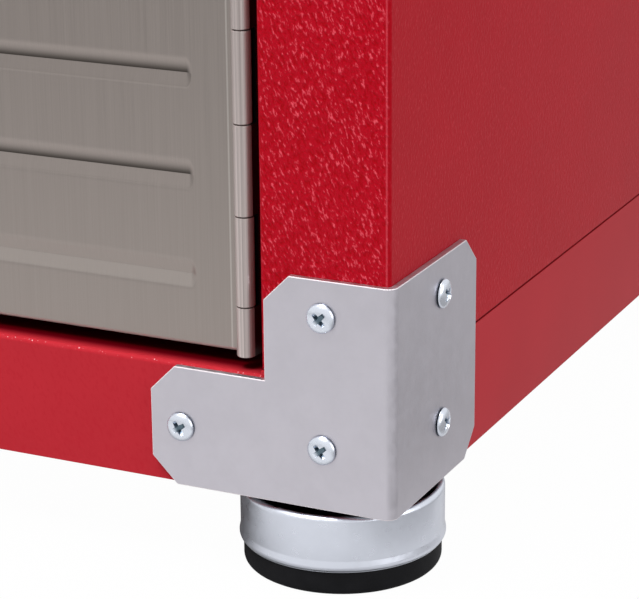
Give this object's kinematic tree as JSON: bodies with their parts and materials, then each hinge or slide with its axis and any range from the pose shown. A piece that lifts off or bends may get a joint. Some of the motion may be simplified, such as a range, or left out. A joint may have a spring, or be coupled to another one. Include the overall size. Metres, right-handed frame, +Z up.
{
  "type": "tool cabinet",
  "caption": "Free-standing red steel tool cabinet with a drawer over two ribbed stainless doors, corner brackets and levelling feet.",
  "frame": {"origin": "centre of the footprint's bounding box at floor level", "axes": "+Z up, +X to the cabinet's right seen from the front, front at -Y"},
  "size_m": [0.7226, 0.5412, 0.8763],
  "materials": {
    "red_powder_coat": "hammered gloss powder coat",
    "ribbed_stainless": "fine vertical brushing",
    "satin_steel": "satin plated",
    "zinc_plate": "bright zinc plate",
    "hinge_steel": "bright drawn steel",
    "black_rubber": "matt",
    "handle_metal": "satin anodised",
    "lock_metal": "polished",
    "black_plastic": "fine grain",
    "galvanised_steel": "galvanised"
  },
  "bodies": {
    "cabinet": {"right_side_panel": "red_powder_coat", "left_side_panel": "red_powder_coat", "base_right_skirt": "red_powder_coat", "base_left_skirt": "red_powder_coat", "base_front_rail": "red_powder_coat", "base_rear_rail": "red_powder_coat", "top_panel": "red_powder_coat", "cabinet_floor": "red_powder_coat", "divider_panel": "red_powder_coat", "back_panel": "red_powder_coat", "mid_rail": "red_powder_coat", "right_door_jamb": "red_powder_coat", "left_door_jamb": "red_powder_coat", "runner_plates": "galvanised_steel", "bottom_corner_brackets": "satin_steel", "top_corner_brackets": "satin_steel", "bracket_screws": "zinc_plate", "bracket_nuts": "zinc_plate", "foot_plates": "galvanised_steel", "foot_jam_nuts": "zinc_plate", "catch_housings": "black_plastic", "catch_magnets": "galvanised_steel", "shelf": "red_powder_coat", "shelf_standards": "galvanised_steel", "shelf_clips": "galvanised_steel", "slide_outer_members": "galvanised_steel", "right_frame_hinge_leaf": "hinge_steel", "right_hinge_pin": "hinge_steel", "left_frame_hinge_leaf": "hinge_steel", "left_hinge_pin": "hinge_steel"},
    "right_door": {"right_door_skin": "ribbed_stainless", "right_door_pan": "red_powder_coat", "right_door_handle": "handle_metal", "right_door_hinge_leaf": "hinge_steel", "right_door_strike": "galvanised_steel", "lock_housing": "lock_metal"},
    "left_door": {"left_door_skin": "ribbed_stainless", "left_door_pan": "red_powder_coat", "left_door_handle": "handle_metal", "left_door_hinge_leaf": "hinge_steel", "left_door_strike": "galvanised_steel"},
    "lock_barrel": {"lock_plug": "lock_metal", "lock_cam": "galvanised_steel"},
    "drawer": {"drawer_front": "ribbed_stainless", "drawer_front_pan": "red_powder_coat", "drawer_handle": "handle_metal", "drawer_box": "red_powder_coat", "drawer_mat": "black_rubber", "slide_inner_members": "galvanised_steel"},
    "slide_middles": {"slide_middle_members": "galvanised_steel"},
    "front_right_foot": {"front_right_foot_cup": "zinc_plate", "front_right_foot_pad": "black_rubber"},
    "front_left_foot": {"front_left_foot_cup": "zinc_plate", "front_left_foot_pad": "black_rubber"},
    "rear_right_foot": {"rear_right_foot_cup": "zinc_plate", "rear_right_foot_pad": "black_rubber"},
    "rear_left_foot": {"rear_left_foot_cup": "zinc_plate", "rear_left_foot_pad": "black_rubber"}
  },
  "joints": [
    {"name": "right_door_swing", "type": "hinge", "parent": "cabinet", "child": "right_door", "pos_m": [0.2911, -0.23765, 0.36895], "axis": [0, 0, 1], "range_deg": [0, 120]},
    {"name": "left_door_swing", "type": "hinge", "parent": "cabinet", "child": "left_door", "pos_m": [-0.2911, -0.23765, 0.36895], "axis": [0, 0, -1], "range_deg": [0, 120]},
    {"name": "lock_turn", "type": "hinge", "parent": "right_door", "child": "lock_barrel", "pos_m": [0.0415, -0.23515, 0.59335], "axis": [0, -1, 0], "range_deg": [0, 90]},
    {"name": "drawer_slide", "type": "slide", "parent": "cabinet", "child": "drawer", "axis": [0, -1, 0], "range_m": [0, 0.4]},
    {"name": "slide_middle_travel", "type": "slide", "parent": "cabinet", "child": "slide_middles", "axis": [0, -1, 0], "range_m": [0, 0.2]},
    {"name": "front_right_foot_height", "type": "slide", "parent": "cabinet", "child": "front_right_foot", "axis": [0, 0, -1], "range_m": [0, 0.015]},
    {"name": "front_left_foot_height", "type": "slide", "parent": "cabinet", "child": "front_left_foot", "axis": [0, 0, -1], "range_m": [0, 0.015]},
    {"name": "rear_right_foot_height", "type": "slide", "parent": "cabinet", "child": "rear_right_foot", "axis": [0, 0, -1], "range_m": [0, 0.015]},
    {"name": "rear_left_foot_height", "type": "slide", "parent": "cabinet", "child": "rear_left_foot", "axis": [0, 0, -1], "range_m": [0, 0.015]}
  ],
  "couplings": [
    {"joint": "slide_middle_travel", "follows": "drawer_slide", "ratio": 0.5}
  ]
}
